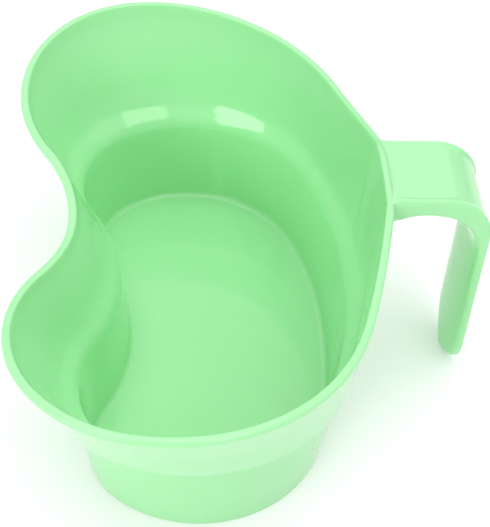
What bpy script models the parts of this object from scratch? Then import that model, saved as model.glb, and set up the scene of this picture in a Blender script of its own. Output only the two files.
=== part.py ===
"""Kidney-shaped hair colour bowl with a hooked strap handle.

Metres, +Z up. The origin is the centre of the base's underside. +X points to
the handle, and the bowl is mirrored about the plane Y = 0. The neck cut-out
faces -X.
"""

import math

import bmesh
import bpy
from mathutils import Vector

MM = 0.001

# Rim outline, half of it, from the handle round to the neck (mm and degrees)
RIM_FRONT_X = 53.8
RIM_LAND = 14.3            # half length of the flat behind the handle
RIM_CORNER = (5.0, 9.9)    # radius, sweep
RIM_FLANK = (285.0, 8.5)
RIM_SIDE = (64.2, 80.3)
RIM_LOBE_R = 45.8
RIM_NECK_R = 45.9

# Base outline, the same run of arcs
BASE_FRONT_X = 43.0
BASE_LAND = 3.2
BASE_CORNER = (126.0, 9.0)
BASE_FLANK = (126.0, 12.2)
BASE_SIDE = (43.3, 102.0)
BASE_LOBE_R = 29.7
BASE_NECK_R = 56.6

# Heights of the rim above the base (mm)
RIM_Z = 74.8               # mean height
RIM_TILT = 6.6             # rise towards the handle, fall towards the neck
RIM_WAVE = 4.3             # extra lift of the lobes and of the handle's end
RIM_CAP = 85.4             # flat behind the handle
RIM_AXIS_X = 6.9           # the rim's height is measured round this point

# Wall (mm)
SHOULDER_Z = 32.0          # top of the narrow well
FLARE_Z = 41.5             # where the flared wall starts
SHOULDER_STEP = (0.16, 0.46)  # outline blend below and above the step
FRONT_BULGE = (0.13, 0.31)    # extra blend on the handle side, below and above it
TRUMPET = 0.15             # how much the flared wall opens out towards the rim
WALL = 2.2
LIP = 2.8
LIP_DROP = 1.9             # how far the lip's round edge runs down outside
FLOOR = 2.5
BASE_ROUND = 1.0           # outside
FLOOR_ROUND = 2.0          # inside
FLOOR_BLEND = 0.02         # the floor's outline is a little wider than the base's

# Handle (mm)
GAP = 0.3
STRAP_W = 14.5             # half width, also the radius of its round end
STRAP_TOP = 84.1
STRAP_OUT_X = 86.9         # outer face of the drop
BEND_R = 17.0
TIP_Z = 0.3
FLANGE_W = 2.2
WEB = 2.0
TOP_RECESS = 0.7
DEPTH_TOP = 6.6            # flange depth along the top
DEPTH_DROP = 3.4           # at the edges of the drop
INNER_R = 18.0             # the bend's inner side is a wider arc
CROWN = 0.9                # how far the drop's inner face swells in the middle
GUSSET = 3.4               # extra depth where the strap leaves the wall
GUSSET_RUN = 10.5
FADE_IN = 6.0              # run over which the strap's recesses deepen after the wall
FADE_OUT = 5.0             # half width over which they die out in the round end

SEGMENTS = (3, 3, 4, 14, 16, 7)    # land, corner, flank, side, lobe, neck
SHARP_ANGLE = 40           # degrees


def arc(start, heading, radius, sweep, count):
    """Points along an arc after start. A negative radius turns right."""
    side = math.copysign(1.0, radius)
    left = Vector((-math.sin(heading), math.cos(heading)))
    centre = start + left * radius
    points = []
    for i in range(1, count + 1):
        turn = heading + side * sweep * i / count
        points.append(centre + Vector((math.sin(turn), -math.cos(turn))) * radius)
    return points, heading + side * sweep


def half_outline(front_x, land, corner, flank, side, lobe_r, neck_r):
    """Tangent arcs from the middle of the handle side to the neck."""
    points = [Vector((front_x, 0.0))]
    for i in range(1, SEGMENTS[0] + 1):
        points.append(Vector((front_x, land * i / SEGMENTS[0])))
    heading = math.pi / 2
    for (radius, degrees), count in zip((corner, flank, side), SEGMENTS[1:4]):
        run, heading = arc(points[-1], heading, radius, math.radians(degrees), count)
        points += run
    # The neck circle sits on the mirror plane and touches the lobe circle
    left = Vector((-math.sin(heading), math.cos(heading)))
    lobe = points[-1] + left * lobe_r
    reach = lobe_r + neck_r
    neck_x = lobe.x - math.sqrt(reach ** 2 - lobe.y ** 2)
    touch = (Vector((neck_x, 0.0)) - lobe) / reach
    turn = math.atan2(touch.x, -touch.y) % (2 * math.pi)
    run, heading = arc(points[-1], heading, lobe_r, turn - heading, SEGMENTS[4])
    points += run
    run, heading = arc(points[-1], heading, -neck_r, turn - 1.5 * math.pi, SEGMENTS[5])
    return points + run


def full_outline(half):
    mirrored = [Vector((p.x, -p.y)) for p in reversed(half[1:-1])]
    return half + mirrored


def rim_outline():
    return half_outline(RIM_FRONT_X, RIM_LAND, RIM_CORNER, RIM_FLANK, RIM_SIDE,
                        RIM_LOBE_R, RIM_NECK_R)


def base_outline():
    return half_outline(BASE_FRONT_X, BASE_LAND, BASE_CORNER, BASE_FLANK, BASE_SIDE,
                        BASE_LOBE_R, BASE_NECK_R)


def blend(low, high, t, bulge):
    """Outline between base and rim, fuller by bulge on the handle side."""
    loop = []
    for a, b in zip(low, high):
        front = max(0.0, math.cos(math.atan2(b.y, b.x - RIM_AXIS_X)))
        loop.append(a.lerp(b, t + bulge * front))
    return loop


def inset(loop, distance):
    """Move each point of a closed loop inward by distance."""
    moved = []
    count = len(loop)
    for i, point in enumerate(loop):
        along = (loop[(i + 1) % count] - loop[i - 1]).normalized()
        moved.append(point + Vector((-along.y, along.x)) * distance)
    return moved


def rim_height(point):
    angle = math.atan2(point.y, point.x - RIM_AXIS_X)
    height = RIM_Z + RIM_TILT * math.cos(angle) + RIM_WAVE * math.cos(3 * angle)
    return min(height, RIM_CAP)


def lifted(height, rim_point):
    """Height of a level over one rim point. Only the flared wall follows the rim."""
    share = max(0.0, (height - FLARE_Z) / (RIM_Z - FLARE_Z))
    return height + share * (rim_height(rim_point) - RIM_Z)


def flare(share):
    """(blend, bulge) of the flared wall, from the shoulder (0) to the rim (1)."""
    start = SHOULDER_STEP[1]
    opened = share + TRUMPET * (share ** 2 - share)
    return start + (1 - start) * opened, FRONT_BULGE[1] * (1 - share)


def step(share):
    """(blend, bulge) across the shoulder, from the well (0) to the flare (1)."""
    (low, high), (low_front, high_front) = SHOULDER_STEP, FRONT_BULGE
    return low + (high - low) * share, low_front + (high_front - low_front) * share


def wall_profile():
    """((blend, bulge), height, inset) from underneath, over the lip, to the floor."""
    ledge = FLARE_Z - SHOULDER_Z
    rise = RIM_Z - LIP_DROP - FLARE_Z
    well_middle = (SHOULDER_STEP[0] / 2, FRONT_BULGE[0] / 2)
    levels = [((0, 0), 0.0, BASE_ROUND)]
    for degrees in (30, 60, 90):
        a = math.radians(degrees)
        levels.append(((0, 0), BASE_ROUND * (1 - math.cos(a)), BASE_ROUND * (1 - math.sin(a))))
    levels.append((well_middle, SHOULDER_Z / 2, 0.0))
    for across, up in ((0, 0), (0.08, 0.15), (0.28, 0.35), (0.8, 0.8), (0.96, 0.93)):
        levels.append((step(across), SHOULDER_Z + ledge * up, 0.0))
    for share in (0.02, 0.33, 0.67, 1):
        levels.append((flare(share), FLARE_Z + rise * share, 0.0))
    for drop, distance in ((0.95, 0.1), (0.5, 0.4), (0.2, 0.95), (0.0, 1.8), (0.12, 2.45),
                           (0.8, LIP)):
        levels.append((flare(1), RIM_Z - drop, distance))
    for share, extra in ((0.9, 0.4), (0.67, 0.3), (0.33, 0.15), (0.16, 0.1)):
        levels.append((flare(share), FLARE_Z + rise * share, WALL + extra))
    for across, up in ((0.97, 1.12), (0.84, 0.95), (0.61, 0.75), (0.3, 0.5), (0.12, 0.28),
                       (0.03, 0.06)):
        levels.append((step(across), SHOULDER_Z + ledge * up, WALL))
    levels.append((well_middle, SHOULDER_Z / 2, WALL))
    for degrees in (0, 30, 60, 90):
        a = math.radians(degrees)
        levels.append(((FLOOR_BLEND, 0), FLOOR + FLOOR_ROUND * (1 - math.sin(a)),
                       WALL + FLOOR_ROUND * (1 - math.cos(a))))
    return levels


def make_object(name, bm, material):
    bmesh.ops.recalc_face_normals(bm, faces=bm.faces)
    mesh = bpy.data.meshes.new(name)
    bm.to_mesh(mesh)
    bm.free()
    mesh.shade_smooth()
    mesh.set_sharp_from_angle(angle=math.radians(SHARP_ANGLE))
    obj = bpy.data.objects.new(name, mesh)
    mesh.materials.append(material)
    bpy.context.collection.objects.link(obj)
    return obj


def skin(bm, loops):
    """Quads between successive closed loops, and a flat face on each end."""
    rings = [[bm.verts.new(Vector(p) * MM) for p in loop] for loop in loops]
    count = len(rings[0])
    for lower, upper in zip(rings, rings[1:]):
        for i in range(count):
            j = (i + 1) % count
            bm.faces.new((lower[i], lower[j], upper[j], upper[i]))
    bm.faces.new(list(reversed(rings[0])))
    bm.faces.new(rings[-1])


def make_bowl(material):
    base = full_outline(base_outline())
    rim = full_outline(rim_outline())
    loops = []
    for (t, bulge), height, distance in wall_profile():
        flat = inset(blend(base, rim, t, bulge), distance)
        loops.append([(p.x, p.y, lifted(height, r)) for p, r in zip(flat, rim)])
    bm = bmesh.new()
    skin(bm, loops)
    return make_object("bowl", bm, material)


def wall_x(y, z):
    """X of the flared wall's outer face, near the handle."""
    height = FLARE_Z + (z - FLARE_Z) * (RIM_Z - FLARE_Z) / (RIM_CAP - FLARE_Z)
    share = min(1.0, (height - FLARE_Z) / (RIM_Z - LIP_DROP - FLARE_Z))
    loop = blend(base_outline(), rim_outline(), *flare(share))
    for a, b in zip(loop, loop[1:]):
        if a.y <= abs(y) <= b.y:
            return a.x + (b.x - a.x) * (abs(y) - a.y) / (b.y - a.y)
    return loop[0].x


def strap_stations():
    """(distance, point on the outer face, inward direction) along the strap."""
    bend_x = STRAP_OUT_X - BEND_R
    top = bend_x - RIM_FRONT_X
    quarter = BEND_R * math.pi / 2
    round_z = TIP_Z + STRAP_W
    drop = STRAP_TOP - BEND_R - round_z
    down = Vector((0, 0, -1))
    stations = []
    for run in (0.0, 1.5, 3.0, 5.0, 7.5, 10.5, top):
        stations.append((run, Vector((RIM_FRONT_X + run, 0, STRAP_TOP)), down))
    centre = Vector((bend_x, 0, STRAP_TOP - BEND_R))
    for i in range(1, 10):
        a = math.pi / 2 * i / 9
        out = Vector((math.sin(a), 0, math.cos(a)))
        stations.append((top + a * BEND_R, centre + out * BEND_R, -out))
    tip_steps = [STRAP_W * math.sin(math.radians(d)) for d in (15, 30, 45, 56, 66, 74, 80)]
    for run in [drop * 0.1, drop * 0.2, drop * 0.6, drop] + [drop + s for s in tip_steps]:
        point = Vector((STRAP_OUT_X, 0, STRAP_TOP - BEND_R - run))
        stations.append((top + quarter + run, point, Vector((-1, 0, 0))))
    return stations, top, top + quarter, top + quarter + drop


def strap_depth(run, point, inward):
    """Depth of the strap's edges: a gusset, a straight, a wider inner arc, a straight."""
    depth = DEPTH_TOP + GUSSET * max(0.0, 1 - run / GUSSET_RUN) ** 2
    centre = Vector((STRAP_OUT_X - DEPTH_DROP - INNER_R, 0,
                     STRAP_TOP - DEPTH_TOP - INNER_R))
    if point.x < centre.x:
        return depth
    if point.z < centre.z:
        return DEPTH_DROP
    offset = point - centre
    near = offset.dot(inward)
    return -near - math.sqrt(near ** 2 - offset.length_squared + INNER_R ** 2)


def strap_section(half, depth, fade, hollow, drop):
    """(y, depth) round one section. Edge flanges face the bowl along the top of the
    strap, and a crowned face does along its drop (drop runs from 0 to 1)."""
    edge = min(0.5, half * 0.2)
    inner = max(half - FLANGE_W, half * 0.3) if hollow is None else hollow
    wall = (half + inner) / 2
    top = TOP_RECESS * fade
    low = max(0.0, depth - TOP_RECESS - WEB) * min(1.0, fade)
    flanged = [(half, depth - edge), (half - edge, depth), (wall, depth),
               (inner, depth - low), (inner * 0.6, depth - low)]
    crowned = [(half, depth * 0.6), (half * 0.97, depth * 0.86), (half * 0.88, depth),
               (half * 0.7, depth + CROWN * 0.6), (half * 0.35, depth + CROWN)]
    right = [(inner, top), (wall, 0.0), (half - edge, 0.0), (half, edge)]
    for (y, d), (y2, d2) in zip(flanged, crowned):
        right.append((y + (y2 - y) * drop, d + (d2 - d) * drop))
    left = [(-y, d) for y, d in reversed(right)]
    return right + left


def make_handle(material):
    stations, bend_start, bend_end, round_start = strap_stations()
    loops = []
    for run, point, inward in stations:
        past = max(0.0, run - round_start)
        half = math.sqrt(STRAP_W ** 2 - past ** 2)
        rest = (STRAP_W - FLANGE_W) ** 2 - past ** 2
        hollow = math.sqrt(rest) if rest > 0 else None
        fade = 0.0 if rest <= 0 else min(1.0, run / FADE_IN, math.sqrt(rest) / FADE_OUT)
        drop = min(1.0, max(0.0, (run - bend_start) / (bend_end - bend_start)))
        depth = strap_depth(run, point, inward)
        loop = []
        for y, deep in strap_section(half, depth, fade, hollow, drop):
            place = point + inward * deep
            x = wall_x(y, place.z) + GAP if run == 0.0 else place.x
            loop.append((x, y, place.z))
        loops.append(loop)
    bm = bmesh.new()
    skin(bm, loops)
    return make_object("handle", bm, material)


def green_plastic(name):
    material = bpy.data.materials.new(name)
    material.use_nodes = True
    shader = material.node_tree.nodes["Principled BSDF"]
    shader.inputs["Base Color"].default_value = (0.45, 0.87, 0.46, 1.0)
    shader.inputs["Roughness"].default_value = 0.25
    shader.inputs["Metallic"].default_value = 0.0
    return material


def main():
    for obj in list(bpy.data.objects):
        bpy.data.objects.remove(obj)
    make_bowl(green_plastic("bowl_plastic"))
    make_handle(green_plastic("handle_plastic"))


main()
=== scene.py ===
"""Finished look of the hair colour bowl: fine surfaces, plastic finish, light and camera."""

import math

import bmesh
import bpy
from mathutils import Matrix, Vector


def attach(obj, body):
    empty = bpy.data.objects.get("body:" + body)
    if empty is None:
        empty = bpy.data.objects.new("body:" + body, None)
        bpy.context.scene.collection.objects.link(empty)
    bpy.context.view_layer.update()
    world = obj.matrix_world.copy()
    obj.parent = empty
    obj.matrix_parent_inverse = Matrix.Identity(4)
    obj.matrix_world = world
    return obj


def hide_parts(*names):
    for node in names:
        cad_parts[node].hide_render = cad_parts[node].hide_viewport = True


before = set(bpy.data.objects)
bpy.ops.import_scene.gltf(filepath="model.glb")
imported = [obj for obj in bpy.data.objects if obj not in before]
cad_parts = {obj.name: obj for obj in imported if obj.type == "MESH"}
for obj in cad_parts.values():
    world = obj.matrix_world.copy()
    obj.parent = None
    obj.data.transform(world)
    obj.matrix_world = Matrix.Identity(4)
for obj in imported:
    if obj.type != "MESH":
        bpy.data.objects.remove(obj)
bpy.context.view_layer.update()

MM = 0.001
HAIR = 0.03                # inset that keeps the smooth outside within the CAD box
CUT = 0.25                 # share of each edge cut off at a softened corner
CAP_INSET = 0.8            # keeps the flat faces flat up to their rounded edges
SHARP_ANGLE = 50           # degrees

# Rim outline, half of it, from the handle round to the neck (mm and degrees)
RIM_FRONT_X = 53.8
RIM_LAND = 14.3            # half length of the flat behind the handle
RIM_CORNER = (5.0, 9.9)    # radius, sweep
RIM_FLANK = (285.0, 8.5)
RIM_SIDE = (64.2, 80.3)
RIM_LOBE_R = 45.8
RIM_NECK_R = 45.9

# Base outline, the same run of arcs
BASE_FRONT_X = 43.0
BASE_LAND = 3.2
BASE_CORNER = (126.0, 9.0)
BASE_FLANK = (126.0, 12.2)
BASE_SIDE = (43.3, 102.0)
BASE_LOBE_R = 29.7
BASE_NECK_R = 56.6

# Heights of the rim above the base (mm)
RIM_Z = 74.8               # mean height
RIM_TILT = 6.6             # rise towards the handle, fall towards the neck
RIM_WAVE = 4.3             # extra lift of the lobes and of the handle's end
RIM_CAP = 85.4             # flat behind the handle
RIM_AXIS_X = 6.9           # the rim's height is measured round this point

# Wall (mm)
SHOULDER_Z = 32.0          # top of the narrow well
FLARE_Z = 41.5             # where the flared wall starts
SHOULDER_STEP = (0.16, 0.46)  # outline blend below and above the step
FRONT_BULGE = (0.13, 0.31)    # extra blend on the handle side, below and above it
TRUMPET = 0.15             # how much the flared wall opens out towards the rim
WALL = 2.2
LIP = 2.8
LIP_DROP = 1.9             # how far the lip's round edge runs down outside
FLOOR = 2.5
BASE_ROUND = 1.0           # outside
FLOOR_ROUND = 2.0          # inside
FLOOR_BLEND = 0.02         # the floor's outline is a little wider than the base's

# Handle (mm)
STRAP_W = 14.5             # half width, also the radius of its round end
STRAP_TOP = 84.1
STRAP_OUT_X = 86.9         # outer face of the drop
BEND_R = 17.0
TIP_Z = 0.3
FLANGE_W = 2.2
WEB = 2.0
TOP_RECESS = 0.7
DEPTH_TOP = 6.6            # flange depth along the top
DEPTH_DROP = 3.4           # at the edges of the drop
INNER_R = 18.0             # the bend's inner side is a wider arc
CROWN = 0.9                # how far the drop's inner face swells in the middle
GUSSET = 3.4               # extra depth where the strap leaves the wall
GUSSET_RUN = 10.5
FADE_IN = 6.0              # run over which the strap's recesses deepen after the wall
FADE_OUT = 5.0             # half width over which they die out in the round end
ROOT_BURY = 1.7            # how far the strap's root runs into the wall
ROOT_FILLET = 3.0          # radius of the fillet between strap and wall
LIP_COVER = 0.35           # the lip's crest stands this much over the strap's root

SEGMENTS = (5, 5, 8, 32, 36, 16)    # land, corner, flank, side, lobe, neck


def arc(start, heading, radius, sweep, count):
    """Points along an arc after start. A negative radius turns right."""
    side = math.copysign(1.0, radius)
    left = Vector((-math.sin(heading), math.cos(heading)))
    centre = start + left * radius
    points = []
    for i in range(1, count + 1):
        turn = heading + side * sweep * i / count
        points.append(centre + Vector((math.sin(turn), -math.cos(turn))) * radius)
    return points, heading + side * sweep


def half_outline(front_x, land, corner, flank, side, lobe_r, neck_r):
    """Tangent arcs from the middle of the handle side to the neck."""
    points = [Vector((front_x, 0.0))]
    for i in range(1, SEGMENTS[0] + 1):
        points.append(Vector((front_x, land * i / SEGMENTS[0])))
    heading = math.pi / 2
    for (radius, degrees), count in zip((corner, flank, side), SEGMENTS[1:4]):
        run, heading = arc(points[-1], heading, radius, math.radians(degrees), count)
        points += run
    # The neck circle sits on the mirror plane and touches the lobe circle
    left = Vector((-math.sin(heading), math.cos(heading)))
    lobe = points[-1] + left * lobe_r
    reach = lobe_r + neck_r
    neck_x = lobe.x - math.sqrt(reach ** 2 - lobe.y ** 2)
    touch = (Vector((neck_x, 0.0)) - lobe) / reach
    turn = math.atan2(touch.x, -touch.y) % (2 * math.pi)
    run, heading = arc(points[-1], heading, lobe_r, turn - heading, SEGMENTS[4])
    points += run
    run, heading = arc(points[-1], heading, -neck_r, turn - 1.5 * math.pi, SEGMENTS[5])
    return points + run


def full_outline(half):
    """The half outline and its mirror image, as one closed loop."""
    mirrored = [Vector((p.x, -p.y)) for p in reversed(half[1:-1])]
    return half + mirrored


def rim_outline():
    return half_outline(RIM_FRONT_X, RIM_LAND, RIM_CORNER, RIM_FLANK, RIM_SIDE,
                        RIM_LOBE_R, RIM_NECK_R)


def base_outline():
    return half_outline(BASE_FRONT_X, BASE_LAND, BASE_CORNER, BASE_FLANK, BASE_SIDE,
                        BASE_LOBE_R, BASE_NECK_R)


def blend(low, high, t, bulge):
    """Outline between base and rim, fuller by bulge on the handle side."""
    loop = []
    for a, b in zip(low, high):
        front = max(0.0, math.cos(math.atan2(b.y, b.x - RIM_AXIS_X)))
        loop.append(a.lerp(b, t + bulge * front))
    return loop


def inset(loop, distance):
    """Move each point of a closed loop inward by distance."""
    moved = []
    count = len(loop)
    for i, point in enumerate(loop):
        along = (loop[(i + 1) % count] - loop[i - 1]).normalized()
        moved.append(point + Vector((-along.y, along.x)) * distance)
    return moved


def rim_height(point):
    """Height of the lip's crest over a point of the rim's outline."""
    angle = math.atan2(point.y, point.x - RIM_AXIS_X)
    height = RIM_Z + RIM_TILT * math.cos(angle) + RIM_WAVE * math.cos(3 * angle)
    return min(height, RIM_CAP)


def lifted(height, rim_point):
    """Height of a level over one rim point. Only the flared wall follows the rim."""
    share = max(0.0, (height - FLARE_Z) / (RIM_Z - FLARE_Z))
    return height + share * (rim_height(rim_point) - RIM_Z)


def flare(share):
    """(blend, bulge) of the flared wall, from the shoulder (0) to the rim (1)."""
    start = SHOULDER_STEP[1]
    opened = share + TRUMPET * (share ** 2 - share)
    return start + (1 - start) * opened, FRONT_BULGE[1] * (1 - share)


def step(share):
    """(blend, bulge) across the shoulder, from the well (0) to the flare (1)."""
    (low, high), (low_front, high_front) = SHOULDER_STEP, FRONT_BULGE
    return low + (high - low) * share, low_front + (high_front - low_front) * share


def wall_profile():
    """((blend, bulge), height, inset) from underneath, over the lip, to the floor."""
    ledge = FLARE_Z - SHOULDER_Z
    rise = RIM_Z - LIP_DROP - FLARE_Z
    well_middle = (SHOULDER_STEP[0] / 2, FRONT_BULGE[0] / 2)
    levels = [((0, 0), 0.0, BASE_ROUND + CAP_INSET), ((0, 0), 0.0, BASE_ROUND)]
    for degrees in (30, 60, 90):
        a = math.radians(degrees)
        levels.append(((0, 0), BASE_ROUND * (1 - math.cos(a)), BASE_ROUND * (1 - math.sin(a))))
    levels.append((well_middle, SHOULDER_Z / 2, 0.0))
    for across, up in ((0, 0), (0.08, 0.15), (0.28, 0.35), (0.8, 0.8), (0.96, 0.93)):
        levels.append((step(across), SHOULDER_Z + ledge * up, 0.0))
    for share in (0.02, 0.33, 0.67, 1):
        levels.append((flare(share), FLARE_Z + rise * share, 0.0))
    for drop, distance in ((0.95, 0.1), (0.5, 0.4), (0.2, 0.95), (0.0, 1.8), (0.12, 2.45),
                           (0.8, LIP)):
        levels.append((flare(1), RIM_Z - drop, distance))
    for share, extra in ((0.9, 0.4), (0.67, 0.3), (0.33, 0.15), (0.16, 0.1)):
        levels.append((flare(share), FLARE_Z + rise * share, WALL + extra))
    for across, up in ((0.97, 1.12), (0.84, 0.95), (0.61, 0.75), (0.3, 0.5), (0.12, 0.28),
                       (0.03, 0.06)):
        levels.append((step(across), SHOULDER_Z + ledge * up, WALL))
    levels.append((well_middle, SHOULDER_Z / 2, WALL))
    for degrees in (0, 30, 60, 90):
        a = math.radians(degrees)
        levels.append(((FLOOR_BLEND, 0), FLOOR + FLOOR_ROUND * (1 - math.sin(a)),
                       WALL + FLOOR_ROUND * (1 - math.cos(a))))
    levels.append(((FLOOR_BLEND, 0), FLOOR, WALL + FLOOR_ROUND + CAP_INSET))
    return levels


def soften(rings):
    """Cut the corners from ring to ring, so that the profile is one smooth curve."""
    smooth = [rings[0]]
    for a, b in zip(rings, rings[1:]):
        smooth.append([p.lerp(q, CUT) for p, q in zip(a, b)])
        smooth.append([p.lerp(q, 1 - CUT) for p, q in zip(a, b)])
    return smooth + [rings[-1]]


def skin(name, rings, material):
    """A closed smooth body through successive rings, with a face on each end."""
    bm = bmesh.new()
    loops = [[bm.verts.new(p * MM) for p in ring] for ring in rings]
    count = len(loops[0])
    for lower, upper in zip(loops, loops[1:]):
        for i in range(count):
            j = (i + 1) % count
            bm.faces.new((lower[i], lower[j], upper[j], upper[i]))
    bm.faces.new(list(reversed(loops[0])))
    bm.faces.new(loops[-1])
    bmesh.ops.recalc_face_normals(bm, faces=bm.faces)
    mesh = bpy.data.meshes.new(name)
    bm.to_mesh(mesh)
    bm.free()
    mesh.shade_smooth()
    mesh.set_sharp_from_angle(angle=math.radians(SHARP_ANGLE))
    mesh.materials.append(material)
    obj = bpy.data.objects.new(name, mesh)
    bpy.context.collection.objects.link(obj)
    return obj


def make_vessel(material):
    """The bowl, from the level outlines of its wall."""
    base = full_outline(base_outline())
    rim = full_outline(rim_outline())
    rings = []
    for (t, bulge), height, distance in wall_profile():
        flat = inset(blend(base, rim, t, bulge), distance + HAIR)
        rings.append([Vector((p.x, p.y, lifted(height, r))) for p, r in zip(flat, rim)])
    return skin("vessel", soften(soften(rings)), material)


def wall_x(y, z):
    """X of the flared wall's outer face, near the handle."""
    height = FLARE_Z + (z - FLARE_Z) * (RIM_Z - FLARE_Z) / (RIM_CAP - FLARE_Z)
    share = min(1.0, (height - FLARE_Z) / (RIM_Z - LIP_DROP - FLARE_Z))
    loop = blend(base_outline(), rim_outline(), *flare(share))
    for a, b in zip(loop, loop[1:]):
        if a.y <= abs(y) <= b.y:
            return a.x + (b.x - a.x) * (abs(y) - a.y) / (b.y - a.y)
    return loop[0].x


def strap_stations():
    """(distance, point on the outer face, inward direction) along the strap."""
    bend_x = STRAP_OUT_X - BEND_R
    top = bend_x - RIM_FRONT_X
    quarter = BEND_R * math.pi / 2
    round_z = TIP_Z + STRAP_W
    drop = STRAP_TOP - BEND_R - round_z
    down = Vector((0, 0, -1))
    stations = []
    for run in (0.0, 0.15, 0.35, 0.6, 0.95, 1.4, 2.0, 3.0, 4.2, 6.0, 7.5, 9.0, 10.5, 13.0, top):
        stations.append((run, Vector((RIM_FRONT_X + run, 0, STRAP_TOP)), down))
    centre = Vector((bend_x, 0, STRAP_TOP - BEND_R))
    for i in range(1, 19):
        a = math.pi / 2 * i / 18
        out = Vector((math.sin(a), 0, math.cos(a)))
        stations.append((top + a * BEND_R, centre + out * BEND_R, -out))
    runs = [drop * i / 12 for i in range(1, 13)]
    runs += [drop + STRAP_W * math.sin(math.radians(d)) for d in range(6, 87, 5)]
    for run in runs:
        point = Vector((STRAP_OUT_X, 0, STRAP_TOP - BEND_R - run))
        stations.append((top + quarter + run, point, Vector((-1, 0, 0))))
    return stations, top, top + quarter, top + quarter + drop


def strap_depth(run, point, inward):
    """Depth of the strap's edges: a gusset, a straight, a wider inner arc, a straight."""
    depth = DEPTH_TOP + GUSSET * max(0.0, 1 - run / GUSSET_RUN) ** 2
    centre = Vector((STRAP_OUT_X - DEPTH_DROP - INNER_R, 0,
                     STRAP_TOP - DEPTH_TOP - INNER_R))
    if point.x < centre.x:
        return depth
    if point.z < centre.z:
        return DEPTH_DROP
    offset = point - centre
    near = offset.dot(inward)
    return -near - math.sqrt(near ** 2 - offset.length_squared + INNER_R ** 2)


def strap_section(half, depth, fade, hollow, drop):
    """(y, depth) round one section. Edge flanges face the bowl along the top of the
    strap, and a crowned face does along its drop (drop runs from 0 to 1)."""
    edge = min(0.5, half * 0.2)
    inner = max(half - FLANGE_W, half * 0.3) if hollow is None else hollow
    wall = (half + inner) / 2
    top = TOP_RECESS * fade
    low = max(0.0, depth - TOP_RECESS - WEB) * min(1.0, fade)
    flanged = [(half, depth - edge), (half - edge, depth), (wall, depth),
               (inner, depth - low), (inner * 0.6, depth - low)]
    crowned = [(half, depth * 0.6), (half * 0.97, depth * 0.86), (half * 0.88, depth),
               (half * 0.7, depth + CROWN * 0.6), (half * 0.35, depth + CROWN)]
    right = [(0.0, top), (inner * 0.85, top), (inner, top), (wall, 0.0), (half - edge, 0.0),
             (half, edge)]
    for (y, d), (y2, d2) in zip(flanged, crowned):
        right.append((y + (y2 - y) * drop, d + (d2 - d) * drop))
    right.append((0.0, right[-1][1]))
    left = [(-y, d) for y, d in reversed(right[1:-1])]
    return right + left


def round_corners(loop):
    """Cut the corners of a closed section once."""
    count = len(loop)
    out = []
    for i, (y, d) in enumerate(loop):
        y2, d2 = loop[(i + 1) % count]
        out.append((y + (y2 - y) * CUT, d + (d2 - d) * CUT))
        out.append((y + (y2 - y) * (1 - CUT), d + (d2 - d) * (1 - CUT)))
    return out


def root_flare(run):
    """How far the strap's sides swell out where it grows from the wall."""
    if run >= ROOT_FILLET:
        return 0.0
    return ROOT_FILLET - math.sqrt(ROOT_FILLET ** 2 - (ROOT_FILLET - run) ** 2)


def make_strap(material):
    """The handle, grown out of the wall under the lip with a fillet round its root."""
    stations, bend_start, bend_end, round_start = strap_stations()
    rings = []
    for run, point, inward in stations:
        past = max(0.0, run - round_start)
        swell = root_flare(run)
        half = math.sqrt(STRAP_W ** 2 - past ** 2)
        rest = (STRAP_W - FLANGE_W) ** 2 - past ** 2
        hollow = math.sqrt(rest) if rest > 0 else None
        fade = 0.0 if rest <= 0 else min(1.0, run / FADE_IN, math.sqrt(rest) / FADE_OUT)
        drop = min(1.0, max(0.0, (run - bend_start) / (bend_end - bend_start)))
        depth = strap_depth(run, point, inward)
        join = min(1.0, run / ROOT_FILLET)
        ring = []
        for y, deep in round_corners(strap_section(half, depth, fade, hollow, drop)):
            y += swell * y / half
            place = point + inward * deep
            if join < 1:
                crest = rim_height(Vector((RIM_FRONT_X, y))) - LIP_COVER
                share = (1 - join) ** 2 * max(0.0, 1 - deep / depth)
                place.z += (crest - STRAP_TOP) * share
                buried = wall_x(y, min(place.z, crest)) - ROOT_BURY
                place.x = buried + (place.x - buried) * join
            ring.append(Vector((place.x, y, place.z)))
        rings.append(ring)
    return skin("strap_handle", rings, material)


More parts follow.
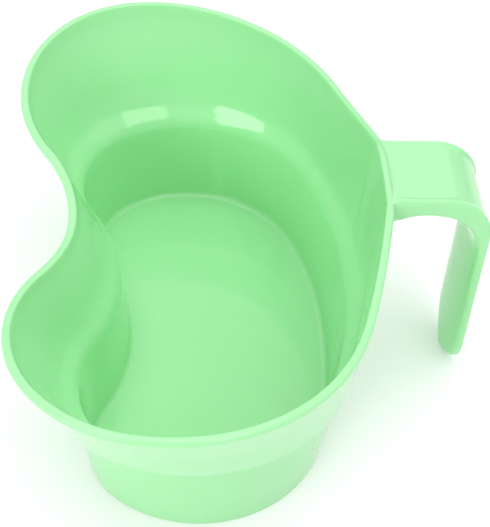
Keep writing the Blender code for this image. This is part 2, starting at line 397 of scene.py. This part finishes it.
def plastic(name):
    """Glossy, faintly translucent green polypropylene with a slight drift of tint and
    gloss and a low moulded ripple."""
    material = bpy.data.materials.new(name)
    material.use_nodes = True
    nodes, links = material.node_tree.nodes, material.node_tree.links
    shader = nodes["Principled BSDF"]
    place = nodes.new("ShaderNodeTexCoord")

    cloud = nodes.new("ShaderNodeTexNoise")
    cloud.inputs["Scale"].default_value = 9.0
    cloud.inputs["Detail"].default_value = 3.0
    links.new(place.outputs["Object"], cloud.inputs["Vector"])
    tint = nodes.new("ShaderNodeValToRGB")
    tint.color_ramp.elements[0].position = 0.35
    tint.color_ramp.elements[0].color = (0.355, 0.762, 0.378, 1.0)
    tint.color_ramp.elements[1].position = 0.65
    tint.color_ramp.elements[1].color = (0.370, 0.772, 0.393, 1.0)
    links.new(cloud.outputs["Fac"], tint.inputs["Fac"])
    links.new(tint.outputs["Color"], shader.inputs["Base Color"])

    haze = nodes.new("ShaderNodeTexNoise")
    haze.inputs["Scale"].default_value = 45.0
    haze.inputs["Detail"].default_value = 4.0
    links.new(place.outputs["Object"], haze.inputs["Vector"])
    gloss = nodes.new("ShaderNodeMapRange")
    gloss.inputs["From Min"].default_value = 0.3
    gloss.inputs["From Max"].default_value = 0.7
    gloss.inputs["To Min"].default_value = 0.06
    gloss.inputs["To Max"].default_value = 0.09
    links.new(haze.outputs["Fac"], gloss.inputs["Value"])
    links.new(gloss.outputs["Result"], shader.inputs["Roughness"])

    ripple = nodes.new("ShaderNodeTexNoise")
    ripple.inputs["Scale"].default_value = 28.0
    ripple.inputs["Detail"].default_value = 2.0
    links.new(place.outputs["Object"], ripple.inputs["Vector"])
    bump = nodes.new("ShaderNodeBump")
    bump.inputs["Strength"].default_value = 0.1
    bump.inputs["Distance"].default_value = 0.0004
    links.new(ripple.outputs["Fac"], bump.inputs["Height"])
    links.new(bump.outputs["Normal"], shader.inputs["Normal"])

    shader.inputs["IOR"].default_value = 1.49
    shader.inputs["Subsurface Weight"].default_value = 0.25
    shader.inputs["Subsurface Radius"].default_value = (0.5, 1.0, 0.5)
    shader.inputs["Subsurface Scale"].default_value = 0.003
    return material


def make_floor():
    """The pale round ground, which glows a little so that it stays white."""
    bm = bmesh.new()
    bmesh.ops.create_circle(bm, cap_ends=True, segments=96, radius=6.0)
    mesh = bpy.data.meshes.new("floor")
    bm.to_mesh(mesh)
    bm.free()
    floor = bpy.data.objects.new("floor", mesh)
    bpy.context.collection.objects.link(floor)
    material = bpy.data.materials.new("floor_white")
    material.use_nodes = True
    shader = material.node_tree.nodes["Principled BSDF"]
    shader.inputs["Base Color"].default_value = (0.80, 0.80, 0.80, 1.0)
    shader.inputs["Roughness"].default_value = 0.7
    shader.inputs["Emission Color"].default_value = (1.0, 1.0, 1.0, 1.0)
    shader.inputs["Emission Strength"].default_value = 0.2
    mesh.materials.append(material)
    return floor


def softbox(name, target, azimuth, elevation, distance, width, height, radiance):
    """A rectangular area light that faces target (mm) from a direction round it
    (degrees). Its distance and sides are in metres."""
    a, e = math.radians(azimuth), math.radians(elevation)
    out = Vector((math.cos(e) * math.cos(a), math.cos(e) * math.sin(a), math.sin(e)))
    light = bpy.data.lights.new(name, "AREA")
    light.shape = "RECTANGLE"
    light.size = width
    light.size_y = height
    light.energy = math.pi * width * height * radiance
    lamp = bpy.data.objects.new(name, light)
    lamp.location = Vector(target) * MM + out * distance
    lamp.rotation_euler = out.to_track_quat("Z", "Y").to_euler()
    bpy.context.collection.objects.link(lamp)


def studio():
    """Soft light all round. Two boxes mirror as bright patches on the far shoulder."""
    world = bpy.data.worlds.new("studio")
    bpy.context.scene.world = world
    world.use_nodes = True
    sky = world.node_tree.nodes["Background"]
    sky.inputs["Color"].default_value = (1.0, 1.0, 1.0, 1.0)
    sky.inputs["Strength"].default_value = 0.5
    bowl = (0.0, 0.0, 50.0)
    softbox("overhead", bowl, 0, 90, 1.3, 1.3, 1.3, 1.68)
    softbox("back_panel", bowl, 88, 46, 1.6, 2.0, 0.9, 0.8)
    softbox("right_fill", bowl, 8, 40, 1.4, 1.5, 0.9, 0.7)
    softbox("left_box", (-24, 80, 40), -55, 44, 1.0, 0.46, 0.26, 2.8)
    softbox("right_box", (11, 79, 41), -131, 25, 1.0, 0.66, 0.36, 4.9)


def make_camera():
    """Three-quarter view from the near side of the handle, looking down into the bowl."""
    elevation, yaw, roll = math.radians(46.3), math.radians(-6.7), math.radians(4.7)
    distance = 529.0
    target = Vector((14.6, 39.0, 0.0))
    back = Vector((math.sin(yaw) * math.cos(elevation), -math.cos(yaw) * math.cos(elevation),
                   math.sin(elevation)))
    right = Vector((math.cos(yaw), math.sin(yaw), 0.0))
    up = back.cross(right)
    turned = right * math.cos(roll) + up * math.sin(roll)
    up = up * math.cos(roll) - right * math.sin(roll)
    camera = bpy.data.cameras.new("camera")
    camera.sensor_width = 36.0
    camera.lens = 95.6
    camera.clip_end = 50.0
    obj = bpy.data.objects.new("camera", camera)
    matrix = Matrix((turned, up, back)).transposed().to_4x4()
    matrix.translation = (target + back * distance) * MM
    obj.matrix_world = matrix
    bpy.context.collection.objects.link(obj)
    bpy.context.scene.camera = obj


vessel = make_vessel(plastic("vessel_plastic"))
strap = make_strap(plastic("strap_plastic"))
for piece, node, slot in ((vessel, "bowl", "bowl_plastic"),
                          (strap, "handle", "handle_plastic")):
    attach(piece, "root")
    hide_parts(node)

make_floor()
studio()
make_camera()
bpy.context.scene.view_settings.view_transform = "Standard"
